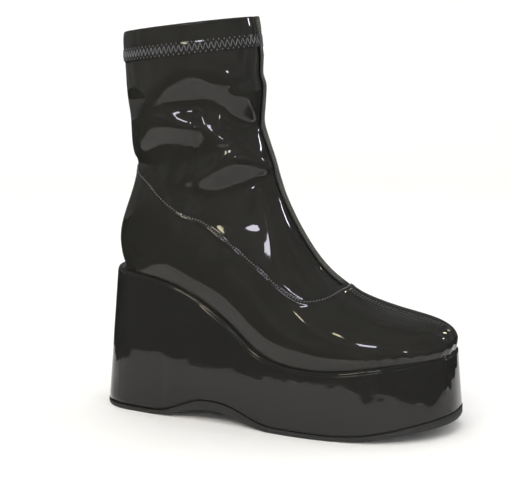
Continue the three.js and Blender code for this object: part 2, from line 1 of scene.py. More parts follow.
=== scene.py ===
import bmesh
import bpy
import numpy as np
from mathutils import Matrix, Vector


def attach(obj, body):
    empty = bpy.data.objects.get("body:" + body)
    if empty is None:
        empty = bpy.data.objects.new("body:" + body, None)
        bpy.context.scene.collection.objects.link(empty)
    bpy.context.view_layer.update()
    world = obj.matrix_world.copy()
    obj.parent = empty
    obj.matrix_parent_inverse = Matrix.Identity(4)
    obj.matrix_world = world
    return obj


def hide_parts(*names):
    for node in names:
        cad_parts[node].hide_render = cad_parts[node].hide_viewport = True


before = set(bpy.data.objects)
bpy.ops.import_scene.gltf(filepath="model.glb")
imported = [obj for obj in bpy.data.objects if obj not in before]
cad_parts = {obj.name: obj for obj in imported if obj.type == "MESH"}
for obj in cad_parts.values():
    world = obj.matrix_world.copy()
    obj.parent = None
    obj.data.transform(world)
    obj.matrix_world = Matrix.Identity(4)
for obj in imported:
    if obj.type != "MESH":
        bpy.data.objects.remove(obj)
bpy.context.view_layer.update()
weldDistance = 0.00004

# Sizes in mm and shares of the boot's form, as its solids have them
form = {
    "footLength": 245.5,
    "ballWidth": 92,
    "instepHeight": 80,
    "toeSwing": 7,
    "toeNose": 62,
    "toeCurl": 32,
    "heelEnd": 0.3,
    "heelBlend": 8,
    "heelSetback": 5,
    "shaftHeight": 166.8,
    "shaftWidth": 76,
    "shaftDepth": 100,
    "heelHeight": 103,
    "platformHeight": 46,
    "toeSpring": 10,
    "sideLedge": 4,
    "toeLedge": 2.2,
    "heelLedge": 6.4,
    "topRounding": 2.4,
    "heelRake": 9.5,
    "toeRake": 0.5,
    "sideFlare": 3,
    "archRise": 8,
    "outsoleThickness": 3.2,
    "treadLip": 0.4,
    "treadBevel": 1.2,
    "wall": 1.8,
    "panelStep": 0.6,
    "hemStep": 0.5,
    "hemHeight": 21,
    "gap": 0.3,
    "trimBelow": 2,
    "nosePower": 2.35,
    "curlPower": 3.2,
    "swingStart": 0.42,
    "swingPower": 1.8,
    "ballRun": 0.55,
    "forwardShare": 0.4,
    "heelLedgeRun": 0.12,
    "toeLedgeRun": 0.2,
    "heelRakeRun": 0.4,
    "toeRakeRun": 0.3,
    "flareRun": 0.25,
    "flatHeelEnd": 0.16,
    "flatBall": (0.53, 0.73),
    "origin": (120.15, 2.045, 0),
}

# run, drop, spring
seatRows = [
    (-0.06, 1.01, 0), (0, 1, 0), (0.06, 0.975, 0), (0.14, 0.935, 0), (0.21, 0.868, 0),
    (0.28, 0.745, 0), (0.344, 0.59, 0), (0.403, 0.41, 0), (0.444, 0.265, 0), (0.484, 0.145, 0),
    (0.545, 0.045, 0), (0.612, 0.008, 0), (0.7, 0, 0.03), (0.78, 0, 0.27), (0.857, 0, 0.57),
    (0.93, 0, 0.84), (1, 0, 1), (1.06, 0, 1.15),
]
# run, outer, inner
footprintRows = [
    (-0.05, 0.763, 0.753), (0.04, 0.768, 0.757), (0.11, 0.764, 0.756), (0.18, 0.755, 0.73),
    (0.25, 0.733, 0.684), (0.32, 0.725, 0.645), (0.39, 0.746, 0.642), (0.46, 0.793, 0.679),
    (0.53, 0.859, 0.753), (0.6, 0.922, 0.839), (0.66, 0.952, 0.9), (0.74, 0.957, 0.943),
    (0.79, 0.948, 0.948), (0.85, 0.926, 0.935), (0.92, 0.902, 0.909), (1.04, 0.891, 0.883),
]
# run, ahead, rise, outer, inner, skew, fullness
footRows = [
    (0.02, 1.062, 1.17, 0.934, 0.921, 0.06, 0.85), (0.06, 0.99, 1.093, 0.931, 0.918, 0.055, 0.86),
    (0.11, 0.893, 1.024, 0.919, 0.906, 0.045, 0.88), (0.18, 0.75, 0.934, 0.896, 0.881, 0.03, 0.9),
    (0.25, 0.614, 0.872, 0.874, 0.849, 0.02, 0.92), (0.32, 0.496, 0.835, 0.853, 0.823, 0.01, 0.94),
    (0.39, 0.388, 0.824, 0.85, 0.804, 0, 0.96), (0.46, 0.287, 0.849, 0.873, 0.806, 0, 0.98),
    (0.53, 0.197, 0.811, 0.92, 0.84, 0, 0.98), (0.6, 0.123, 0.717, 0.974, 0.896, 0, 0.97),
    (0.66, 0.085, 0.62, 1, 0.946, 0, 0.95), (0.74, 0.007, 0.514, 1.004, 0.985, 0, 0.9),
    (0.787, 0.01, 0.438, 0.996, 0.989, 0, 0.86), (0.862, 0.012, 0.34, 0.974, 0.974, 0, 0.82),
    (0.93, 0.035, 0.262, 0.946, 0.946, 0, 0.8), (1.04, 0.055, 0.175, 0.935, 0.913, 0, 0.8),
]
# up, ahead, rise, outer, inner, skew, fullness
shaftRows = [
    (0, 1.06, 1.167, 0.934, 0.921, 0.06, 0.85), (0.1, 1.063, 1.067, 0.934, 0.921, 0.06, 0.85),
    (0.2, 1.026, 0.97, 0.934, 0.921, 0.06, 0.86), (0.3, 0.972, 0.875, 0.934, 0.926, 0.05, 0.88),
    (0.4, 0.931, 0.773, 0.937, 0.932, 0.04, 0.9), (0.5, 0.926, 0.676, 0.947, 0.942, 0.03, 0.92),
    (0.6, 0.93, 0.58, 0.961, 0.955, 0.02, 0.94), (0.7, 0.948, 0.478, 0.974, 0.974, 0.01, 0.94),
    (0.8, 0.962, 0.369, 0.987, 0.987, 0.01, 0.95), (0.9, 0.968, 0.259, 1, 1, 0.01, 0.95),
    (1, 0.96, 0.14, 1, 1, 0.01, 0.95),
]
# up, forward
backRows = [
    (-0.03, 0.012), (0, 0), (0.025, -0.012), (0.07, -0.029), (0.13, -0.033), (0.22, 0.008),
    (0.305, 0.06), (0.39, 0.1), (0.44, 0.105), (0.5, 0.084), (0.57, 0.076), (0.64, 0.066),
    (0.71, 0.046), (0.78, 0.031), (0.85, 0.021), (0.92, 0.015), (1, 0.018),
]
# along, across
seamRows = [
    (0.344, 0), (0.352, 0.14), (0.365, 0.26), (0.387, 0.36), (0.42, 0.44), (0.46, 0.485),
    (0.54, 0.52), (0.65, 0.555), (0.76, 0.575), (0.88, 0.565), (0.97, 0.53), (1.05, 0.5),
    (1.14, 0.53), (1.26, 0.62), (1.38, 0.79), (1.46, 1),
]
# run, arch, spring, thick
treadRows = [
    (-0.08, 0, 0, 1), (0, 0, 0, 1), (0.08, 0, 0, 1), (0.15, 0, 0, 1), (0.19, 0.12, 0, 1.1),
    (0.24, 0.55, 0, 1.5), (0.3, 0.95, 0, 2.1), (0.34, 1, 0, 2.2), (0.39, 0.93, 0, 2),
    (0.44, 0.6, 0, 1.7), (0.48, 0.25, 0, 1.4), (0.53, 0, 0, 1.2), (0.62, 0, 0, 1.1),
    (0.71, 0, 0, 1), (0.76, 0, 0.08, 0.95), (0.82, 0, 0.25, 0.95), (0.88, 0, 0.48, 1.1),
    (0.95, 0, 0.72, 1.6), (1.04, 0, 0.98, 2.1),
]


def smoothCurve(x, y):
    # natural cubic through y at the keys x
    x, y = np.array(x, float), np.array(y, float)
    step = np.diff(x)
    count = len(x)
    matrix = np.eye(count)
    right = np.zeros(count)
    for i in range(1, count - 1):
        matrix[i, i - 1 : i + 2] = step[i - 1], 2 * (step[i - 1] + step[i]), step[i]
        right[i] = 6 * ((y[i + 1] - y[i]) / step[i] - (y[i] - y[i - 1]) / step[i - 1])
    bend = np.linalg.solve(matrix, right)

    def curve(value):
        value = np.asarray(value, float)
        i = np.clip(np.searchsorted(x, value) - 1, 0, count - 2)
        before = x[i + 1] - value
        after = value - x[i]
        cubic = (bend[i] * before**3 + bend[i + 1] * after**3) / (6 * step[i])
        low = (y[i] / step[i] - bend[i] * step[i] / 6) * before
        return cubic + low + (y[i + 1] / step[i] - bend[i + 1] * step[i] / 6) * after

    return curve


def tableCurves(rows, columns):
    # a smooth curve through each of these columns of a table, whose first column is the key
    table = np.array(rows, float)
    return [smoothCurve(table[:, 0], table[:, i]) for i in columns]


def smooth(value):
    part = np.clip(value, 0, 1)
    return part * part * (3 - 2 * part)


def nose(distance, depth, power):
    left = np.clip(1 - distance / depth, 0, 1)
    return (1 - left**power) ** (1 / power)


footLength = form["footLength"]
heelStart = form["heelSetback"]
heelShare = heelStart / footLength
seatDrop, seatSpring = tableCurves(seatRows, (1, 2))
(backForward,) = tableCurves(backRows, (1,))
printLines = tableCurves(footprintRows, (1, 2))
footLines = tableCurves(footRows, range(1, 7))
shaftLines = tableCurves(shaftRows, range(1, 7))
backSlope = form["shaftDepth"] * (backForward(0.01) - backForward(0)) / (form["shaftHeight"] * 0.01)
archShare, springShare = tableCurves(treadRows, (1, 2))


def seatHeight(x):
    run = x / footLength
    drop = (form["heelHeight"] - form["platformHeight"]) * seatDrop(run)
    return form["platformHeight"] + drop + form["toeSpring"] * seatSpring(run)


def centreLine(x):
    start = form["swingStart"] * footLength
    share = np.clip((x - start) / (footLength - start), 0, 1.2)
    return form["toeSwing"] * share ** form["swingPower"]


def toeNarrowing(x):
    return nose(footLength - x, form["toeNose"], form["nosePower"])


def footBlend(run):
    return smooth((run - heelShare) / (form["ballRun"] - heelShare))


def halfWidthAt(run):
    return (form["shaftWidth"] + (form["ballWidth"] - form["shaftWidth"]) * footBlend(run)) / 2


def forwardReach(run):
    forward = form["forwardShare"] * footLength
    return form["shaftDepth"] + (forward - form["shaftDepth"]) * footBlend(run)


def sectionHeight(angle, skew):
    return (1 - np.cos(angle)) / 2 - skew * np.sin(angle) ** 2


def sectionAngle(height, skew):
    safe = np.where(np.abs(skew) < 1e-4, 1e-4, skew)
    root = np.sqrt(0.25 - 4 * safe * (0.5 - safe - height))
    skewed = np.arccos(np.clip((0.5 - root) / (2 * safe), -1, 1))
    return np.where(np.abs(skew) < 1e-4, np.arccos(np.clip(1 - 2 * height, -1, 1)), skewed)


def footprint(x, side):
    # half width of the line that the upper stands on, side 0 outside and 1 inside
    x = np.asarray(x, float)
    run = x / footLength
    straight = printLines[side](run) * halfWidthAt(run) * toeNarrowing(x)
    ahead = footLines[0](run) * forwardReach(run)
    rise = footLines[1](run) * form["instepHeight"]
    behind = backSlope * (seatHeight(x) - seatHeight(heelStart))
    depth = np.clip((x - heelStart - behind) / (ahead - backSlope * rise), 0, 1)
    skew = footLines[4](run)
    angle = sectionAngle(np.minimum(depth, 0.5), skew)
    rounded = footLines[2 + side](run) * halfWidthAt(run) * np.sin(angle) ** footLines[5](run)
    blend = form["heelBlend"]
    safe = np.maximum(rounded, 1e-6)
    closed = (np.maximum(straight, 1e-6) ** -blend + safe**-blend) ** (-1 / blend)
    closed = np.where(rounded < 1e-6, 0, closed)
    return np.where((run > form["heelEnd"]) | (depth > 0.5), straight, closed)


def stationRows(along):
    # base, span, half widths, end widths, skew and fullness of each section of the upper
    along = np.asarray(along, float)
    trim = form["trimBelow"]
    x = footLength - (footLength - heelStart) * np.minimum(along, 1)
    run = x / footLength
    half = halfWidthAt(run) * toeNarrowing(x)
    lift = nose(footLength - x, form["toeCurl"], form["curlPower"])
    foot = [line(run) for line in footLines]
    up = np.maximum(along - 1, 0)
    shaft = [line(up) for line in shaftLines]
    start = 1 - smooth(up * 4)
    onShaft = along > 1
    seat = seatHeight(x) - trim
    heelSeat = seatHeight(heelStart) - trim
    shaftX = heelStart + form["shaftDepth"] * backForward(up)
    shaftZ = form["heelHeight"] + up * form["shaftHeight"] + (heelSeat - form["heelHeight"]) * start
    baseX = np.where(onShaft, shaftX, x)
    baseZ = np.where(onShaft, shaftZ, seat)
    spanX = np.where(onShaft, shaft[0] * form["shaftDepth"], foot[0] * forwardReach(run) * lift)
    footRise = (foot[1] * form["instepHeight"] + trim) * lift
    spanZ = np.where(onShaft, shaft[1] * form["instepHeight"] + trim * start, footRise)
    shaftHalf = form["shaftWidth"] / 2
    widths = [np.where(onShaft, shaft[2 + k] * shaftHalf, foot[2 + k] * half) for k in (0, 1)]
    ends = [np.where(onShaft, 0, footprint(x, k)) for k in (0, 1)]
    skew = np.where(onShaft, shaft[4], foot[4])
    fullness = np.where(onShaft, shaft[5], foot[5])
    return baseX, baseZ, spanX, spanZ, widths, ends, skew, fullness


def upperPoints(along, across):
    # the upper's outer face in mm, before the row's origin is taken off
    baseX, baseZ, spanX, spanZ, widths, ends, skew, fullness = stationRows(along)
    inner = across > 0
    half = np.maximum(np.where(inner, widths[1], widths[0]), 1e-6)
    end = np.where(inner, ends[1], ends[0])
    endAngle = np.arcsin(np.clip(end / half, 0, 1) ** (1 / fullness))
    angle = np.pi - np.abs(across) * (np.pi - endAngle)
    start = sectionHeight(endAngle, skew)
    share = (sectionHeight(angle, skew) - start) / (1 - start)
    x = baseX + spanX * share
    width = half * np.maximum(np.sin(angle), 0) ** fullness
    y = centreLine(x) + np.where(inner, width, -width)
    return np.stack([x, y, baseZ + spanZ * share], -1)


def unit(vectors):
    return vectors / np.maximum(np.linalg.norm(vectors, axis=-1, keepdims=True), 1e-9)


def shareOut(start, end, count, power=1):
    return start + (end - start) * np.linspace(0, 1, count + 1) ** power


def footRuns(toe, middle, heel, start=0, power=2):
    # steps from the toe to the heel seat, closer together at both ends
    toeEnd, heelEnd = 0.17, 0.88
    return np.concatenate([
        shareOut(start, toeEnd, toe, power),
        shareOut(toeEnd, heelEnd, middle)[1:],
        shareOut(1, heelEnd, heel, 2)[::-1][1:],
    ])


# The fine grid that the upper is drawn on: along from the toe over the heel seat to the collar, and
# across from the outer side over the front to the inner side
faceRows = np.append(footRuns(60, 130, 30), shareOut(1, 2, 150)[1:])
faceColumns = np.linspace(-1, 1, 251)


# Where the sections are eased into each other: the place, reach and spread in along
easedSeat = (1, 0.06, 0.15)
easedInstep = (0.8, 0.03, 0.08)
easedPart = (0.55, 1.35)


def easing(rows, place, reach, spread):
    return reach * np.exp(-(((rows - place) / spread) ** 2))


def easedFace():
    # the outer face, eased over the line where the foot's sections meet the shaft's
    along, across = np.meshgrid(faceRows, faceColumns, indexing="ij")
    points = upperPoints(along, across)
    near = (faceRows > easedPart[0]) & (faceRows < easedPart[1])
    rows = faceRows[near]
    spacing = np.gradient(faceRows)
    eased = points.copy()
    for column, share in enumerate(faceColumns):
        reach = easing(rows, *easedSeat) * (1 - abs(share) ** 4) + easing(rows, *easedInstep)
        reach = np.maximum(reach, 1e-4)[:, None]
        weights = np.exp(-0.5 * ((faceRows - rows[:, None]) / reach) ** 2) * spacing
        weights /= weights.sum(1, keepdims=True)
        eased[near, column] = weights @ points[:, column]
    return eased


def gridNormals(points):
    rowTurn = np.gradient(points, axis=0)
    columnTurn = np.gradient(points, axis=1)
    # the outer and inner halves meet down the back of the shaft
    closed = faceRows > 1
    columnTurn[closed, 0] = columnTurn[closed, -1] = points[closed, 1] - points[closed, -2]
    rowTurn[closed, -1] = rowTurn[closed, 0]
    normals = unit(np.cross(columnTurn, rowTurn))
    normals[0] = unit(normals[2].mean(0))
    return normals


faceGrid = easedFace()
normalGrid = gridNormals(faceGrid)


def fromGrid(grid, along, across):
    row = np.interp(along, faceRows, np.arange(len(faceRows)))
    column = np.interp(across, faceColumns, np.arange(len(faceColumns)))
    i = np.clip(row.astype(int), 0, len(faceRows) - 2)
    j = np.clip(column.astype(int), 0, len(faceColumns) - 2)
    u, v = (row - i)[..., None], (column - j)[..., None]
    low = grid[i, j] * (1 - v) + grid[i, j + 1] * v
    high = grid[i + 1, j] * (1 - v) + grid[i + 1, j + 1] * v
    return low * (1 - u) + high * u


def facePoints(along, across):
    return fromGrid(faceGrid, along, across)


def faceNormals(along, across):
    return unit(fromGrid(normalGrid, along, across))


def toMetres(points):
    return (np.asarray(points) - np.array(form["origin"])) * 0.001


def linkedObject(name, points, faces, material):
    # a smooth-shaded object from points in metres
    mesh = bpy.data.meshes.new(name)
    mesh.from_pydata(points.tolist(), [], faces)
    mesh.polygons.foreach_set("use_smooth", [True] * len(mesh.polygons))
    mesh.materials.append(material)
    made = bpy.data.objects.new(name, mesh)
    bpy.context.scene.collection.objects.link(made)
    return made


def meshPiece(name, points, faces, material):
    # a piece of the boot from points in the form's mm
    piece = linkedObject(name, toMetres(points), faces.tolist(), material)
    piece.data.validate()
    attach(piece, "root")
    return piece


def gridFaces(rows, columns, offset=0, closed=False):
    row = np.arange(rows - 1)[:, None]
    column = np.arange(columns if closed else columns - 1)[None, :]
    after = (column + 1) % columns
    corners = [row * columns + column, row * columns + after, (row + 1) * columns + after]
    corners.append((row + 1) * columns + column)
    return np.stack(corners, -1).reshape(-1, 4) + offset


def cleanMesh(piece):
    # welds the points that meet, as they do at the toe and down the back
    work = bmesh.new()
    work.from_mesh(piece.data)
    bmesh.ops.remove_doubles(work, verts=work.verts, dist=weldDistance)
    bmesh.ops.dissolve_degenerate(work, edges=work.edges, dist=1e-7)
    bmesh.ops.recalc_face_normals(work, faces=work.faces)
    work.to_mesh(piece.data)
    work.free()


def linear(hexColour, strength=1.0):
    # an sRGB hex value as the linear colour that the shader takes
    parts = [int(hexColour[i : i + 2], 16) / 255 for i in (1, 3, 5)]
    flat = [p / 12.92 if p <= 0.04045 else ((p + 0.055) / 1.055) ** 2.4 for p in parts]
    return (*[strength * p for p in flat], 1.0)


def addNode(tree, kind, settings=None, links=None):
    node = tree.nodes.new(kind)
    for name, value in (settings or {}).items():
        if isinstance(name, int) or name in node.inputs:
            node.inputs[name].default_value = value
        else:
            setattr(node, name, value)
    for name, source in (links or {}).items():
        tree.links.new(source, node.inputs[name])
    return node


def newMaterial(name):
    # an empty material, its node tree and the place on the boot
    material = bpy.data.materials.new(name)
    material.use_nodes = True
    tree = material.node_tree
    tree.nodes.clear()
    return material, tree, addNode(tree, "ShaderNodeTexCoord").outputs["Object"]


def finishMaterial(tree, shader):
    addNode(tree, "ShaderNodeOutputMaterial", links={"Surface": shader.outputs[0]})


def finishSurface(tree, look, shade, relief, extras):
    # a surface that runs from one colour to the other with the shade and stands up with the relief
    tones = {"data_type": "RGBA", 6: linear(look["colour"]), 7: linear(look["colourLight"])}
    colour = addNode(tree, "ShaderNodeMix", tones, {0: shade}).outputs[2]
    height = {"Strength": look["bumpStrength"], "Distance": look["bumpDepth"] / 1000}
    normal = addNode(tree, "ShaderNodeBump", height, {"Height": relief}).outputs["Normal"]
    finish = {"Roughness": look["roughness"], **extras}
    links = {"Base Color": colour, "Normal": normal}
    finishMaterial(tree, addNode(tree, "ShaderNodeBsdfPrincipled", finish, links))


def patentVinylMaterial(name, look):
    # patent vinyl: a film of clear gloss over a black stretch fabric, so a deep black that mirrors
    # the room, with the faintest waviness from the knit below
    material, tree, place = newMaterial(name)
    wave = {"Scale": 1000 / look["waveSpacing"], "Detail": 2.0, "Roughness": 0.4}
    knit = addNode(tree, "ShaderNodeTexNoise", wave, {"Vector": place})
    cloud = {"Scale": 1000 / look["tintSpacing"], "Detail": 3.0}
    tint = addNode(tree, "ShaderNodeTexNoise", cloud, {"Vector": place})
    finishSurface(tree, look, tint.outputs["Fac"], knit.outputs["Fac"], {"IOR": look["ior"]})
    return material


# The upper: one sheet of patent vinyl from the platform up to the turned collar
upper = {
    "stepWidth": 0.9,
    "turnedEdge": 9,
    "hemCrown": 0.34,
    "bandTop": 12.6,
    "bandBottom": 20.6,
    "bandRise": 0.25,
    "bandEdge": 0.7,
    # height, middle and width, on the vamp's side and on the shaft's
    "seamRoll": (0.35, -1.2, 1),
    "seamValley": (-0.3, 0.8, 0.8),
    # height, place and width, from the vamp's middle line
    "vampValley": (-0.4, 0, 0.7),
    "vampRoll": (0.24, 1.7, 0.9),
    "vampStart": 60,
    "vampBlend": 40,
    "vampAbove": 12,
    "vampFade": 3,
    "gatherCount": 34,
    "gatherDepth": 0.22,
    "gatherHeight": 3,
    "gatherSpread": 3.5,
    "gatherBlend": 18,
    "deepest": 4.5,
    "vinyl": {
        "colour": "#222220",
        "colourLight": "#272725",
        "roughness": 0.045,
        "ior": 1.38,
        "waveSpacing": 9,
        "bumpStrength": 0.05,
        "bumpDepth": 1,
        "tintSpacing": 40,
    },
    # slope, then along, across and width in mm of points on its path
    "facets": [
        # the large lens on the shaft
        (0.52, [
            (1.61, -0.59, 2.6), (1.62, -0.53, 14.5), (1.62, -0.44, 19.8), (1.56, -0.35, 22.4),
            (1.45, -0.27, 26.4), (1.34, -0.2, 19.8), (1.23, -0.12, 10.6), (1.14, -0.04, 1.3),
        ]),
        # its left part, which leans a little more
        (0.18, [
            (1.61, -0.58, 1.3), (1.62, -0.5, 11.9), (1.6, -0.42, 15.8), (1.56, -0.35, 15.8),
            (1.48, -0.28, 9.2), (1.41, -0.23, 1.3),
        ]),
        # its middle, where the form leans the other way
        (0.26, [
            (1.55, -0.34, 1.3), (1.49, -0.29, 10.6), (1.41, -0.23, 11.9), (1.32, -0.17, 7.9),
            (1.25, -0.12, 1.3),
        ]),
        # the lens over the ankle
        (0.58, [
            (1.46, -0.86, 1.3), (1.46, -0.7, 14.5), (1.46, -0.61, 22.4), (1.42, -0.52, 22.4),
            (1.33, -0.41, 17.2), (1.23, -0.32, 11.9), (1.1, -0.21, 1.3),
        ]),
        # its far end, which leans a little more
        (0.25, [
            (1.43, -0.49, 1.3), (1.35, -0.42, 9.2), (1.23, -0.32, 9.2), (1.11, -0.22, 1.3),
        ]),
        # the lens in front of the ankle
        (0.62, [
            (1.08, -0.43, 1.3), (1.04, -0.38, 17.2), (0.99, -0.36, 22.4), (0.95, -0.34, 25.1),
            (0.92, -0.29, 23.8), (0.9, -0.21, 15.8), (0.88, -0.15, 7.9), (0.86, -0.07, 1.3),
        ]),
        # the small lens by the back
        (0.3, [(1.72, -0.78, 1.3), (1.71, -0.69, 6.6), (1.68, -0.63, 1.3)]),
        # the white streak on the instep
        (-0.35, [
            (0.93, -0.52, 1.3), (0.88, -0.51, 10.6), (0.82, -0.48, 15.8), (0.77, -0.44, 10.6),
            (0.73, -0.4, 1.3),
        ]),
        # the turn inside the large hollow
        (0.3, [
            (1.45, -0.35, 1.3), (1.39, -0.34, 5.3), (1.32, -0.29, 5.3), (1.23, -0.25, 1.3),
        ]),
        # the turn inside the pocket
        (0.3, [(1.09, -0.3, 1.3), (1.07, -0.32, 5.3), (1.06, -0.36, 1.3)]),
        # on the inner side: lenses under the hem, over the ankle and in front of it, a turn
        # between them, and a streak on the instep
        (0.7, [
            (1.6, 0.08, 1), (1.66, 0.2, 10), (1.66, 0.34, 17), (1.58, 0.48, 16), (1.49, 0.6, 9),
            (1.44, 0.7, 1),
        ]),
        (0.66, [
            (1.28, 0.14, 1), (1.34, 0.26, 10), (1.39, 0.4, 16), (1.38, 0.55, 15), (1.32, 0.68, 9),
            (1.26, 0.78, 1),
        ]),
        (0.62, [
            (1.02, 0.08, 1), (1.06, 0.2, 10), (1.12, 0.33, 16), (1.16, 0.46, 13), (1.16, 0.58, 7),
            (1.14, 0.68, 1),
        ]),
        (0.28, [(1.56, 0.3, 1), (1.5, 0.34, 6), (1.44, 0.33, 6), (1.36, 0.3, 1)]),
        (-0.2, [(0.9, 0.34, 1), (0.86, 0.26, 7), (0.8, 0.19, 7), (0.73, 0.12, 1)]),
    ],
    # height and width in mm, then along and across of points on its path
    "folds": [
        # the tongue that hangs over the ankle
        (1.2, 6, [
            (1.6, -0.57), (1.52, -0.51), (1.39, -0.4), (1.25, -0.27), (1.12, -0.2), (1.04, -0.17),
            (1, -0.2),
        ]),
        # the pocket
        (-1, 5, [
            (1.28, -0.55), (1.18, -0.41), (1.11, -0.32), (1.03, -0.23),
        ]),
        # a pull along the seam, above it
        (0.6, 2, [(1.08, -0.44), (0.99, -0.46), (0.91, -0.53)]),
        # a pull along the seam, below it
        (0.6, 2.5, [(0.93, -0.55), (0.85, -0.58), (0.75, -0.59)]),
        # the notch behind the ankle
        (-2.4, 3.5, [(1.44, -0.86), (1.38, -0.7), (1.29, -0.56)]),
        # a pucker beside the tape
        (-1, 3, [(0.86, -0.17), (0.8, -0.16), (0.73, -0.14)]),
        # a dent in front of the instep
        (-0.8, 8, [(0.57, -0.39), (0.5, -0.28), (0.41, -0.14)]),
    ],
}
patentVinyl = patentVinylMaterial("patent vinyl", upper["vinyl"])


def pathCurve(rows, count, low=-1):
    # count points on a smooth curve through rows of along and across
    keys = np.arange(len(rows))
    fine = np.linspace(0, len(rows) - 1, count)
    along, across = [smoothCurve(keys, [row[i] for row in rows])(fine) for i in (0, 1)]
    return along, np.clip(across, low, 1)


def seamDistance(points):
    # mm from the side seam, positive on the shaft's side and negative on the vamp's
    along, across = pathCurve(seamRows, 240, 0)
    line = facePoints(along, -across)[:, [0, 2]]
    flat = points[:, [0, 2]]
    best = np.full(len(points), 1e9)
    signed = np.zeros(len(points))
    for a, b in zip(line[:-1], line[1:]):
        edge = b - a
        part = np.clip(((flat - a) @ edge) / max(edge @ edge, 1e-9), 0, 1)
        away = flat - a - part[:, None] * edge
        distance = np.hypot(away[:, 0], away[:, 1])
        # the line runs from the vamp point back to the heel, so the shaft is on its right
        turn = edge[0] * away[:, 1] - edge[1] * away[:, 0]
        closer = distance < best
        best = np.where(closer, distance, best)
        signed = np.where(closer, np.where(turn < 0, distance, -distance), signed)
    # everything ahead of the line belongs to the vamp
    return np.where(flat[:, 0] > line[:, 0].max() + 1, -best, signed)


def collarDistance(points):
    # mm below the collar's edge
    front, back = facePoints(np.array([2.0, 2.0]), np.array([0.0, -1.0]))
    slope = (front[2] - back[2]) / (front[0] - back[0])
    return back[2] + slope * (points[:, 0] - back[0]) - points[:, 2]


def ridge(distance, height, middle, width):
    return height * np.exp(-(((distance - middle) / width) ** 2))


def upperRelief(points):
    # how far the face stands off the form: the vamp panel, the hem, the seams and the folds
    stepWidth = upper["stepWidth"]
    seam = seamDistance(points)
    depth = collarDistance(points)
    relief = form["panelStep"] * smooth(0.5 - seam / stepWidth)
    relief += form["hemStep"] * smooth(0.5 + (form["hemHeight"] - depth) / stepWidth)
    relief += upper["hemCrown"] * np.sin(np.pi * np.clip(depth / upper["bandTop"], 0, 1))
    edge = upper["bandEdge"]
    band = smooth((depth - upper["bandTop"]) / edge) * smooth((upper["bandBottom"] - depth) / edge)
    relief += upper["bandRise"] * band
    # the seam's turned edge is a low roll, with a tight valley beside it
    relief += ridge(seam, *upper["seamRoll"]) + ridge(seam, *upper["seamValley"])
    # the seam down the middle of the vamp
    x, y, z = points.T
    above = z - seatHeight(x)
    sideways = np.abs(y - centreLine(x))
    onVamp = smooth(-seam / upper["vampFade"])
    onVamp *= smooth((x - upper["vampStart"]) / upper["vampBlend"])
    onVamp *= above > upper["vampAbove"]
    relief += onVamp * (ridge(sideways, *upper["vampValley"]) + ridge(sideways, *upper["vampRoll"]))
    # small gathers where the vinyl is pulled in round the toe
    toe = x - (footLength - form["toeNose"])
    gather = np.sin(np.arctan2(y - centreLine(x), toe) * upper["gatherCount"])
    gather *= ridge(above, upper["gatherDepth"], upper["gatherHeight"], upper["gatherSpread"])
    return relief + gather * smooth(toe / upper["gatherBlend"]) + foldRelief(points)


def foldRelief(points):
    relief = np.zeros(len(points))
    for fold in upper["folds"]:
        relief += oneFold(points, *fold)
    for facet in upper["facets"]:
        relief += oneFacet(points, *facet)
    # a hollow stays clear of the lining
    deepest = upper["deepest"]
    return np.where(relief < 0, deepest * np.tanh(relief / deepest), relief)


def overFolds(along, across, lift):
    # the face with its folds alone, raised by a lift
    points = facePoints(along, across)
    normals = faceNormals(along, across)
    return points + normals * (foldRelief(points) + lift)[:, None], normals


def nearestOnPath(points, path, reach, ease=2.5):
    # the points within reach of a path over the face, with their distance from it, how far
    # they lie to its right as seen from outside, and their share of its length; ease smooths
    # the jump between two parts of the path that are equally near
    along, across = pathCurve(path, 12 * (len(path) - 1) + 1)
    line = facePoints(along, across)
    right = unit(np.cross(np.gradient(line, axis=0), faceNormals(along, across)))
    inside = np.all((points > line.min(0) - reach) & (points < line.max(0) + reach), axis=1)
    away = points[inside][:, None] - line
    distances = np.linalg.norm(away, axis=2)
    nearest = distances.min(1)
    weights = np.exp((nearest[:, None] - distances) / ease)
    weights /= weights.sum(1, keepdims=True)
    sideways = (weights * (away * right).sum(2)).sum(1)
    share = weights @ np.linspace(0, 1, len(line))
    return inside, nearest, sideways, share


def oneFold(points, height, width, path, taper=0.25):
    # a soft ridge or trough along a path over the face
    inside, distance, _, share = nearestOnPath(points, path, 3 * width)
    ends = smooth(share / taper) * smooth((1 - share) / taper)
    relief = np.zeros(len(points))
    relief[inside] = height * ends * np.exp(-((distance / width) ** 2))
    return relief


def oneFacet(points, slope, path):
    # a strip of the face that leans over to the path's right; each row ends with its width
    widths = np.array(path, float)[:, 2]
    reach = 3 * widths.max()
    inside, distance, sideways, share = nearestOnPath(points, path, reach)
    width = smoothCurve(np.linspace(0, 1, len(widths)), widths)(share)
    fade = smooth(2 - 2 * distance / reach)
    relief = np.zeros(len(points))
    relief[inside] = -slope * fade * sideways / (1 + (distance / np.maximum(width, 0.3)) ** 3)
    return relief


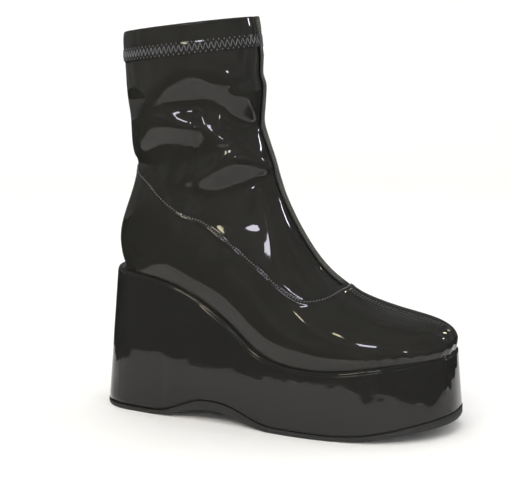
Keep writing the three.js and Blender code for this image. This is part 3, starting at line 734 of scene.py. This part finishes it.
def buildUpper():
    relief = upperRelief(faceGrid.reshape(-1, 3)).reshape(faceGrid.shape[:2])
    grid = faceGrid + normalGrid * relief[..., None]
    # the collar's edge is turned in: a round rim and a strip of vinyl down the inside
    radius = (form["wall"] + form["hemStep"]) / 2
    middle = (form["hemStep"] - form["wall"]) / 2
    edge, out = faceGrid[-1], normalGrid[-1]
    rise = unit(edge - faceGrid[-2])
    grid[-1] = edge - radius * rise + out * form["hemStep"]
    rim = []
    for angle in np.radians(np.arange(20, 181, 20)):
        rim.append(edge + rise * radius * (np.sin(angle) - 1) + out * (middle + radius * np.cos(angle)))
    for depth in np.linspace(1, upper["turnedEdge"], 6):
        rim.append(edge - rise * (radius + depth) - out * form["wall"])
    grid = np.concatenate([grid, rim])
    faces = gridFaces(len(grid), len(faceColumns))
    piece = meshPiece("patentUpper", grid.reshape(-1, 3), faces, patentVinyl)
    cleanMesh(piece)
    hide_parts("upper")


buildUpper()
print("upper made")


def treadHeight(x):
    run = x / footLength
    curved = form["archRise"] * archShare(run) + form["toeSpring"] * springShare(run)
    ballStart, ballEnd = form["flatBall"]
    flat = (run < form["flatHeelEnd"]) | ((run > ballStart) & (run < ballEnd))
    return np.where(flat, 0, np.maximum(curved, 0))


def coverHeight(x):
    thick = np.interp(x / footLength, [row[0] for row in treadRows], [row[3] for row in treadRows])
    return treadHeight(x) + form["outsoleThickness"] * thick


def fromHeel(x, run):
    # 0 at the heel, rising to 1 over this share of the foot
    return smooth((x - heelStart) / (run * footLength))


def towardsToe(x, run):
    return smooth((x - (1 - run) * footLength) / (run * footLength))


def ledge(x):
    atHeel = 1 - fromHeel(x, form["heelLedgeRun"])
    atToe = towardsToe(x, form["toeLedgeRun"])
    side = form["sideLedge"]
    return side + (form["heelLedge"] - side) * atHeel + (form["toeLedge"] - side) * atToe


def rake(x):
    atHeel = 1 - fromHeel(x, form["heelRakeRun"])
    return form["toeRake"] * towardsToe(x, form["toeRakeRun"]) - form["heelRake"] * atHeel


# Sections of the ring round the foot, close together at the toe and the heel
ringRuns = footRuns(36, 80, 40)


def planRing(outset):
    x = footLength - (footLength - heelStart) * ringRuns
    outer = np.stack([x, centreLine(x) - footprint(x, 0)], -1)
    inner = np.stack([x, centreLine(x) + footprint(x, 1)], -1)
    ring = np.concatenate([outer, inner[1:-1][::-1]])
    before = np.roll(ring, 1, axis=0)
    after = np.roll(ring, -1, axis=0)
    normal = unit(np.stack([before[:, 1] - after[:, 1], after[:, 0] - before[:, 0]], -1))
    return ring + normal * np.broadcast_to(outset(ring[:, 0]), len(ring))[:, None]


def levelRing(share, outset):
    def total(x):
        return ledge(x) + form["sideFlare"] * fromHeel(x, form["flareRun"]) * (1 - share) + outset

    ring = planRing(total)
    return np.stack([ring[:, 0] + rake(ring[:, 0]) * (1 - share), ring[:, 1]], -1)


def platformRing(share, outset, lift):
    low = levelRing(0, 0)
    top = levelRing(1, 0)
    ring = levelRing(share, outset)
    bottom = coverHeight(low[:, 0]) + form["gap"]
    height = bottom + (seatHeight(top[:, 0]) - bottom) * share + lift
    return np.column_stack([ring, height])


def ringPiece(name, rings, material, node):
    # a closed skin of stacked rings, with strips across its first and last ring
    size = len(rings[0])
    faces = gridFaces(len(rings), size, closed=True).tolist()
    top = (len(rings) - 1) * size
    for i in range(len(ringRuns) - 1):
        corners = list(dict.fromkeys([i, i + 1, size - i - 1, (size - i) % size]))
        if len(corners) > 2:
            faces.append(corners)
            faces.append([c + top for c in corners[::-1]])
    piece = linkedObject(name, toMetres(np.concatenate(rings)), faces, material)
    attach(piece, "root")
    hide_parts(node)
    cleanMesh(piece)


# The platform: the same vinyl pulled tight over a firm core, with its rim rolled in
platform = {
    "sideRings": 24,
    "sideTop": 0.965,
    "topInset": 0.6,
    "vinyl": {
        "colour": "#20201f",
        "colourLight": "#252524",
        "roughness": 0.045,
        "ior": 1.35,
        "waveSpacing": 20,
        "bumpStrength": 0.36,
        "bumpDepth": 1,
        "tintSpacing": 60,
    },
}
coverVinyl = patentVinylMaterial("wrapped patent vinyl", platform["vinyl"])


def buildPlatform():
    shares = np.linspace(0, platform["sideTop"], platform["sideRings"])
    rings = [platformRing(share, 0, 0) for share in shares]
    radius = form["topRounding"]
    for angle in np.radians(np.arange(0, 91, 15)):
        rings.append(platformRing(1, radius * (np.cos(angle) - 1), radius * (np.sin(angle) - 1)))
    rings.append(platformRing(1, -radius - platform["topInset"], 0))
    ringPiece("wrappedPlatform", rings, coverVinyl, "platform")


buildPlatform()
print("platform made")


# The outsole: moulded rubber with a plain ground side
outsole = {
    "colour": "#1b1b1b",
    "colourLight": "#2a2a29",
    "roughness": 0.7,
    "grainSpacing": 1.2,
    "wearScale": 60.0,
    "bumpStrength": 0.3,
    "bumpDepth": 0.3,
    "groundInset": 3,
    "topEdge": 0.3,
    "topInset": 2,
}


def mouldedRubberMaterial(look):
    # moulded rubber: matt, a little lighter where it is rubbed, with a fine spark-eroded grain
    material, tree, place = newMaterial("moulded rubber")
    fine = {"Scale": 1000 / look["grainSpacing"], "Detail": 2.0}
    grain = addNode(tree, "ShaderNodeTexNoise", fine, {"Vector": place})
    rubbed = {"Scale": look["wearScale"], "Detail": 4.0}
    wear = addNode(tree, "ShaderNodeTexNoise", rubbed, {"Vector": place})
    finishSurface(tree, look, wear.outputs["Fac"], grain.outputs["Fac"], {"IOR": 1.52})
    return material


mouldedRubber = mouldedRubberMaterial(outsole)


def buildOutsole():
    low = levelRing(0, 0)[:, 0]
    ground, top = treadHeight(low), coverHeight(low)
    lip, bevel, edge = form["treadLip"], form["treadBevel"], outsole["topEdge"]
    levels = [
        (lip - bevel - outsole["groundInset"], ground),
        (lip - bevel, ground),
        (lip - bevel * 0.4, ground + bevel * 0.15),
        (lip, ground + bevel),
        (lip, top - edge),
        (lip - edge, top),
        (lip - outsole["topInset"], top),
    ]
    rings = [np.column_stack([levelRing(0, outset), height]) for outset, height in levels]
    ringPiece("rubberOutsole", rings, mouldedRubber, "outsole")


buildOutsole()
print("outsole made")


# The lining and the sock: a thin knit glued to the vinyl
lining = {
    "colour": "#2b2a29",
    "colourLight": "#383635",
    "roughness": 0.85,
    "knitSpacing": 1.1,
    "bumpStrength": 0.5,
    "bumpDepth": 0.4,
    "glueLine": 0.1,
    # inset and lift of each ring of the sock
    "sockRings": [(3.1, -0.4), (3.1, 2.4), (3.6, 3), (6, 3.2)],
}


def knitLiningMaterial(look):
    # brushed knit: matt, with small loops that catch the light at a low angle
    material, tree, place = newMaterial("brushed knit lining")
    spacing = {"Scale": 1000 / look["knitSpacing"]}
    loops = addNode(tree, "ShaderNodeTexVoronoi", spacing, {"Vector": place}).outputs["Distance"]
    finishSurface(tree, look, loops, loops, {"Sheen Weight": 0.15})
    return material


liningKnit = knitLiningMaterial(lining)


def buildLining():
    rows = np.append(footRuns(16, 60, 10, 0.02, 1.6), shareOut(1, 1.95, 70)[1:])
    columns = np.linspace(-1, 1, 121)
    along, across = [grid.ravel() for grid in np.meshgrid(rows, columns, indexing="ij")]
    inside, _ = overFolds(along, across, -form["wall"] - lining["glueLine"])
    meshPiece("ankleLining", inside, gridFaces(len(rows), len(columns)), liningKnit)


def buildSock():
    # the sock lies on the platform's top, its edge a little up the wall
    rings = []
    for inset, lift in lining["sockRings"]:
        plan = planRing(lambda x: -inset)
        rings.append(np.column_stack([plan, seatHeight(plan[:, 0]) + lift]))
    ringPiece("footSock", rings, liningKnit, "insole")


buildLining()
buildSock()
print("lining and sock made")


# The tape over the front seam
tape = {
    "halfWidth": 3,
    "thickness": 1.0,
    "start": 0.364,
    # half a turn of the tape's section: flat below, rounded edges, slightly crowned on top
    "section": [
        (-1, 0), (-1, 0.55), (-0.9, 0.85), (-0.6, 1), (-0.2, 1.08),
        (0.2, 1.08), (0.6, 1), (0.9, 0.85), (1, 0.55), (1, 0),
    ],
    "colour": "#232524",
    "colourLight": "#3a3d3a",
    "roughness": 0.6,
    "ribSpacing": 0.9,
    "bumpStrength": 0.6,
    "bumpDepth": 0.3,
}


def wovenTapeMaterial(look):
    # woven nylon tape: a tight twill with a slight sheen, greyer than the vinyl
    material, tree, place = newMaterial("woven nylon tape")
    spacing = {"Scale": 1000 / look["ribSpacing"]}
    ribs = addNode(tree, "ShaderNodeTexVoronoi", spacing, {"Vector": place}).outputs["Distance"]
    finishSurface(tree, look, ribs, ribs, {"Sheen Weight": 0.05})
    return material


wovenTape = wovenTapeMaterial(tape)


def mmPerUnit(rows, step):
    # how many mm one unit of across is at the middle line
    aside = facePoints(rows, np.full(len(rows), step)) - facePoints(rows, np.zeros(len(rows)))
    return np.linalg.norm(aside, axis=1) / step


def buildTape():
    rows = shareOut(tape["start"], 2, 320)
    perUnit = mmPerUnit(rows, 0.05)
    grid = []
    for share, height in tape["section"]:
        lift = form["hemStep"] + form["gap"] + height * tape["thickness"]
        grid.append(overFolds(rows, share * tape["halfWidth"] / perUnit, lift)[0])
    points = np.stack(grid, 1).reshape(-1, 3)
    piece = meshPiece("frontSeamTape", points, gridFaces(len(rows), len(grid)), wovenTape)
    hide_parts("front_seam_tape")


buildTape()
print("tape made")


# The stitching: a zigzag over the hem, beads along the side seams, and fine rows on tape and vamp
stitching = {
    "black": {"colour": "#4e4f52", "colourLight": "#74757a"},
    "pale": {"colour": "#8f8f88", "colourLight": "#b4b4ac"},
    "roughness": 0.32,
    "plySpacing": 0.5,
    "bumpStrength": 0.3,
    "bumpDepth": 0.2,
    "threadRadius": 0.3,
    "zigzagPitch": 3.4,
    "zigzagTop": 14.0,
    "zigzagBottom": 18.8,
    # the rows of dots beside it: depth and shift
    "dots": [(12.9, 0.0), (20.0, 0.5)],
    # the sizes are length, width and height of one bead
    "dotSize": (0.7, 0.42, 0.35),
    "dotLift": 0.1,
    "seamPitch": 2.1,
    "seamSize": (0.62, 0.55, 0.55),
    "seamLift": 0.15,
    "seamSlant": 0.5,
    "vampRun": (0.045, 0.335),
    "vampPitch": 2.2,
    "vampAside": 1.7,
    "vampSize": (0.7, 0.22, 0.22),
    "vampLift": 0.02,
    "tapePitch": 2.1,
    # place, shift and slant
    "tapeRows": [(-2.0, 0.0, -0.8), (0.0, 0.5, 0.8), (2.0, 0.0, -0.8)],
    "tapeSize": (0.6, 0.16, 0.14),
}


def sewingThreadMaterial(name, colours):
    # polyester sewing thread: two smooth plies that shine along the twist
    material, tree, place = newMaterial(name)
    twist = {"Scale": 160 / stitching["plySpacing"], "Distortion": 1.0}
    plies = addNode(tree, "ShaderNodeTexWave", twist, {"Vector": place}).outputs["Fac"]
    finishSurface(tree, {**stitching, **colours}, plies, plies, {"IOR": 1.55})
    return material


blackThread = sewingThreadMaterial("polyester thread", stitching["black"])
paleThread = sewingThreadMaterial("pale polyester thread", stitching["pale"])


def faceLengths(along, across):
    # mm from the start of a line over the face to each of its points
    steps = np.diff(facePoints(along, across), axis=0)
    return np.concatenate([[0], np.cumsum(np.linalg.norm(steps, axis=1))])


def evenly(along, across, pitch, shift=0.0):
    # along and across of places one pitch apart on a line over the face
    lengths = faceLengths(along, across)
    marks = np.arange(pitch * (0.5 + shift), lengths[-1], pitch)
    return np.interp(marks, lengths, along), np.interp(marks, lengths, across)


def collarLine(depth):
    # along and across of the line a given depth below the collar's edge
    across = np.linspace(-1, 1, 601)
    along = np.linspace(1.55, 2, 60)
    grid = facePoints(*np.meshgrid(along, across, indexing="ij"))
    below = collarDistance(grid.reshape(-1, 3)).reshape(grid.shape[:2])
    return np.array([np.interp(-depth, -column, along) for column in below.T]), across


def onFace(along, across, lift):
    points = facePoints(along, across)
    normals = faceNormals(along, across)
    return points + normals * (upperRelief(points) + lift)[:, None], normals


def tubeSkin(path, radius, sides=6):
    # a round thread along a path
    ahead = unit(np.gradient(path, axis=0))
    # a direction that no part of the thread runs in
    aslant = np.array([0.3, 0.2, 0.93])
    side = unit(np.cross(ahead, aslant))
    lift = np.cross(side, ahead)
    rings = []
    for i in range(sides):
        turn = 2 * np.pi * i / sides
        rings.append(path + radius * (np.cos(turn) * side + np.sin(turn) * lift))
    return np.stack(rings, 1).reshape(-1, 3), gridFaces(len(path), sides, closed=True)


def beadSkins(centres, ahead, normals, size):
    # one little rounded bead at each centre, lying along ahead
    ups = np.radians([-90, -45, 0, 45, 90])
    turns = np.radians(np.arange(0, 360, 60))
    ball = [(np.sin(u), np.cos(u) * np.cos(t), np.cos(u) * np.sin(t)) for u in ups for t in turns]
    ball = np.array(ball) * size
    side = unit(np.cross(normals, ahead))
    frames = np.stack([ahead, side, normals], 1)
    points = centres[:, None] + np.einsum("pk,nkd->npd", ball, frames)
    faces = gridFaces(len(ups), len(turns), closed=True)
    allFaces = faces[None] + (np.arange(len(centres)) * len(ball))[:, None, None]
    return points.reshape(-1, 3), allFaces.reshape(-1, 4)


def beadRow(centres, normals, size, slant=0):
    # beads that lie along their row, turned aside by the slant
    ahead = unit(np.gradient(centres, axis=0))
    return beadSkins(centres, unit(ahead + slant * np.cross(normals, ahead)), normals, size)


def skinsPiece(name, skins, material):
    points, faces, start = [], [], 0
    for skinPoints, skinFaces in skins:
        points.append(skinPoints)
        faces.append(skinFaces + start)
        start += len(skinPoints)
    meshPiece(name, np.concatenate(points), np.concatenate(faces), material)


def zigzag(top, bottom, count):
    # along and across of a thread that runs down and up between two lines
    legs = 5
    steps = np.arange(2 * count * legs)
    share = steps % legs / legs
    mix = np.where(steps // legs % 2 == 0, share, 1 - share)
    mix = (smooth(mix) + mix) / 2
    ends = []
    for line in (top, bottom):
        lengths = faceLengths(*line)
        marks = steps / len(steps) * lengths[-1]
        ends.append([np.interp(marks, lengths, column) for column in line])
    return [high * (1 - mix) + low * mix for high, low in zip(*ends)]


def buildHemStitch():
    top = collarLine(stitching["zigzagTop"])
    bottom = collarLine(stitching["zigzagBottom"])
    count = int(round(faceLengths(*top)[-1] / stitching["zigzagPitch"]))
    radius, lift = stitching["threadRadius"], stitching["dotLift"]
    path, _ = onFace(*zigzag(top, bottom, count), radius * 0.4)
    skins = [tubeSkin(path, radius)]
    for depth, shift in stitching["dots"]:
        line = collarLine(depth)
        along, across = evenly(*line, faceLengths(*line)[-1] / count, shift)
        centres, normals = onFace(along, across, lift)
        above, _ = onFace(np.minimum(along + 0.004, 2), across, lift)
        skins.append(beadSkins(centres, unit(above - centres), normals, stitching["dotSize"]))
    skinsPiece("hemStitch", skins, blackThread)


def buildSeamStitch():
    lift, size, slant = [stitching[name] for name in ("seamLift", "seamSize", "seamSlant")]
    skins = []
    for side in (-1, 1):
        along, across = pathCurve(seamRows, 400, 0)
        line = evenly(along, side * across, stitching["seamPitch"])
        skins.append(beadRow(*onFace(*line, lift), size, slant))
    skinsPiece("sideSeamStitch", skins, blackThread)


def buildVampStitch():
    rows = np.linspace(*stitching["vampRun"], 400)
    perUnit = np.maximum(mmPerUnit(rows, 0.03), 20)
    skins = []
    for side in (-1, 1):
        line = evenly(rows, side * stitching["vampAside"] / perUnit, stitching["vampPitch"])
        skins.append(beadRow(*onFace(*line, stitching["vampLift"]), stitching["vampSize"]))
    skinsPiece("vampSeamStitch", skins, blackThread)


def buildTapeStitch():
    rows = np.linspace(tape["start"] + 0.01, 1.985, 900)
    perUnit = mmPerUnit(rows, 0.03)
    lift = form["hemStep"] + form["gap"] + tape["thickness"]
    skins = []
    for place, shift, slant in stitching["tapeRows"]:
        line = evenly(rows, place / perUnit, stitching["tapePitch"], shift)
        skins.append(beadRow(*overFolds(*line, lift), stitching["tapeSize"], slant))
    skinsPiece("tapeStitch", skins, paleThread)


buildHemStitch()
buildSeamStitch()
buildVampStitch()
buildTapeStitch()
print("stitching made")


# The room: a pale sweep of paper, a table that the vinyl mirrors, and soft lights; in metres
room = {
    "paper": "#f4f4f3",
    "floorRadius": 1.4,
    "bendRadius": 0.9,
    "wallTop": 3.2,
    "airDim": 0.03,
    "airBright": 0.24,
    "airPatches": 2.4,
    "tableRadius": 0.28,
    "clothRadius": 2.6,
    "clothLift": 0.002,
    # waves of the cloth's edge: how many, how deep as a share of the table, and their turn
    "clothWaves": [(7, 0.035, 0.4), (13, 0.028, 1), (29, 0.021, 0)],
    "fillHeight": 2.4,
    "fillWatts": 19,
    # reach and height of the wall fills and of the places they point at
    "wallFill": (0.4, 1.9),
    "wallSpot": (2.3, 0.9),
    "wallWatts": 12,
    # the middle of the boot, which the softboxes point at
    "middle": (0, 0, 0.15),
}


def paperMaterial(look):
    # matt background paper with the faintest tooth
    material, tree, _ = newMaterial("background paper")
    tooth = addNode(tree, "ShaderNodeTexNoise", {"Scale": 400.0, "Detail": 2.0}).outputs["Fac"]
    bump = addNode(tree, "ShaderNodeBump", {"Strength": 0.02, "Distance": 0.0005}, {"Height": tooth})
    matt = {"Base Color": linear(look["paper"]), "Roughness": 0.95}
    finishMaterial(tree, addNode(tree, "ShaderNodeBsdfPrincipled", matt, {"Normal": bump.outputs[0]}))
    return material


def blackClothMaterial():
    # black wool cloth: it swallows nearly all the light
    material, tree, _ = newMaterial("black studio cloth")
    dull = {"Base Color": linear("#0a0a0a"), "Roughness": 1.0, "Specular IOR Level": 0.0}
    finishMaterial(tree, addNode(tree, "ShaderNodeBsdfPrincipled", dull))
    return material


def roundSkin(rows, turns):
    # points and faces of rings round the boot, each row holding a radius and a height
    rings = []
    for radius, height in rows:
        heights = np.full(len(turns), height)
        rings.append(np.column_stack([radius * np.cos(turns), radius * np.sin(turns), heights]))
    return np.concatenate(rings), gridFaces(len(rows), len(turns), closed=True).tolist()


def buildPaper():
    # a round floor of paper that curves up into a wall on every side
    floor, bend = room["floorRadius"], room["bendRadius"]
    profile = [(0.0, 0.0), (floor / 2, 0.0), (floor, 0.0)]
    for angle in np.radians(np.arange(6, 91, 6)):
        profile.append((floor + bend * np.sin(angle), bend - bend * np.cos(angle)))
    profile.append((floor + bend, room["wallTop"]))
    turns = np.radians(np.arange(0, 360, 5))
    paper = paperMaterial(room)
    # the vinyl mirrors the floor only, for the wall stands in the dark part of the studio
    for name, rows, inGloss in (("paperFloor", profile[:3], True), ("paperWall", profile[2:], False)):
        sweep = linkedObject(name, *roundSkin(rows, turns), paper)
        sweep.visible_glossy = inGloss


def buildCloth():
    # black cloth round the white table, which only the gloss of the vinyl sees
    turns = np.radians(np.arange(0, 360, 2))
    wave = sum(depth * np.sin(count * turns + turn) for count, depth, turn in room["clothWaves"])
    lift = room["clothLift"]
    rows = [(room["tableRadius"] * (1 + wave), lift), (room["clothRadius"], lift)]
    cloth = linkedObject("blackCloth", *roundSkin(rows, turns), blackClothMaterial())
    cloth.visible_camera = False
    cloth.visible_diffuse = False
    cloth.visible_shadow = False


def buildAir():
    # the studio round the table is darker in some places than in others
    world = bpy.data.worlds.new("studio air")
    world.use_nodes = True
    tree = world.node_tree
    air = tree.nodes["Background"]
    air.inputs["Color"].default_value = linear("#ffffff")
    place = addNode(tree, "ShaderNodeTexCoord").outputs["Generated"]
    cloud = {"Scale": room["airPatches"], "Detail": 2.0, "Distortion": 1.2}
    patches = addNode(tree, "ShaderNodeTexNoise", cloud, {"Vector": place}).outputs["Fac"]
    span = {"From Min": 0.4, "From Max": 0.62, "To Min": room["airDim"], "To Max": room["airBright"]}
    strength = addNode(tree, "ShaderNodeMapRange", span, {"Value": patches})
    tree.links.new(strength.outputs["Result"], air.inputs["Strength"])
    bpy.context.scene.world = world


def softLight(name, place, aim, size, watts, colour="#ffffff", inGloss=True):
    lamp = bpy.data.lights.new(name, "AREA")
    lamp.shape = "RECTANGLE"
    lamp.size, lamp.size_y = size
    lamp.energy = watts
    lamp.color = linear(colour)[:3]
    light = bpy.data.objects.new(name, lamp)
    light.location = place
    light.rotation_euler = (Vector(aim) - Vector(place)).to_track_quat("-Z", "Y").to_euler()
    light.visible_glossy = inGloss
    light.visible_camera = False
    bpy.context.scene.collection.objects.link(light)


warm, cool = "#fff4d2", "#f3efff"
# name, compass turn from the boot's outer side, rise, reach, size, watts and colour
softboxes = [
    ("left softbox", -12, 32, 1.3, (0.2, 0.14), 1.9, warm),
    ("front softbox", 45, 9, 1.4, (0.07, 0.07), 0.7, cool),
    ("strip softbox", 12, 37, 1.3, (0.26, 0.13), 2.8, cool),
    ("right softbox", 125, 25, 1.3, (0.07, 0.09), 0.8, cool),
    ("back softbox", 153, 25, 1.3, (0.06, 0.12), 0.6, warm),
    ("top softbox", -8, 45, 1.3, (0.22, 0.1), 1.6, warm),
]


def buildLights():
    # the fills light the paper and the boot but never show in the gloss
    above = (0, 0, room["fillHeight"])
    softLight("fill from above", above, (0, 0, 0), (3.0, 3.0), room["fillWatts"], inGloss=False)
    for turn in np.radians([0, 90, 180, 270]):
        side = Vector((np.sin(turn), np.cos(turn), 0))
        ends = [reach * side + Vector((0, 0, rise)) for reach, rise in (room["wallFill"], room["wallSpot"])]
        softLight("wall fill", *ends, (3.0, 0.6), room["wallWatts"], inGloss=False)
    centre = Vector(room["middle"])
    for name, turn, rise, reach, size, watts, colour in softboxes:
        a, e = np.radians([turn, rise])
        away = Vector((np.sin(a) * np.cos(e), -np.cos(a) * np.cos(e), np.sin(e)))
        softLight(name, centre + reach * away, centre, size, watts, colour)


buildPaper()
buildAir()
buildCloth()
buildLights()


# The camera, at the photograph's angle
view = {
    "place": (0.3421, -0.8703, 0.287),
    "aim": (0.00885, -0.00204, 0.130),
    "lens": 95.3,
    "sensor": 36,
    "shiftX": -0.0697,
    "shiftY": -0.0128,
}
camera = bpy.data.cameras.new("camera")
camera.lens = view["lens"]
camera.sensor_width = view["sensor"]
camera.shift_x = view["shiftX"]
camera.shift_y = view["shiftY"]
cameraObject = bpy.data.objects.new("camera", camera)
cameraObject.location = view["place"]
turn = Vector(view["aim"]) - Vector(view["place"])
cameraObject.rotation_euler = turn.to_track_quat("-Z", "Y").to_euler()
bpy.context.scene.collection.objects.link(cameraObject)
bpy.context.scene.camera = cameraObject
bpy.context.scene.view_settings.view_transform = "Standard"
print("room and camera made")
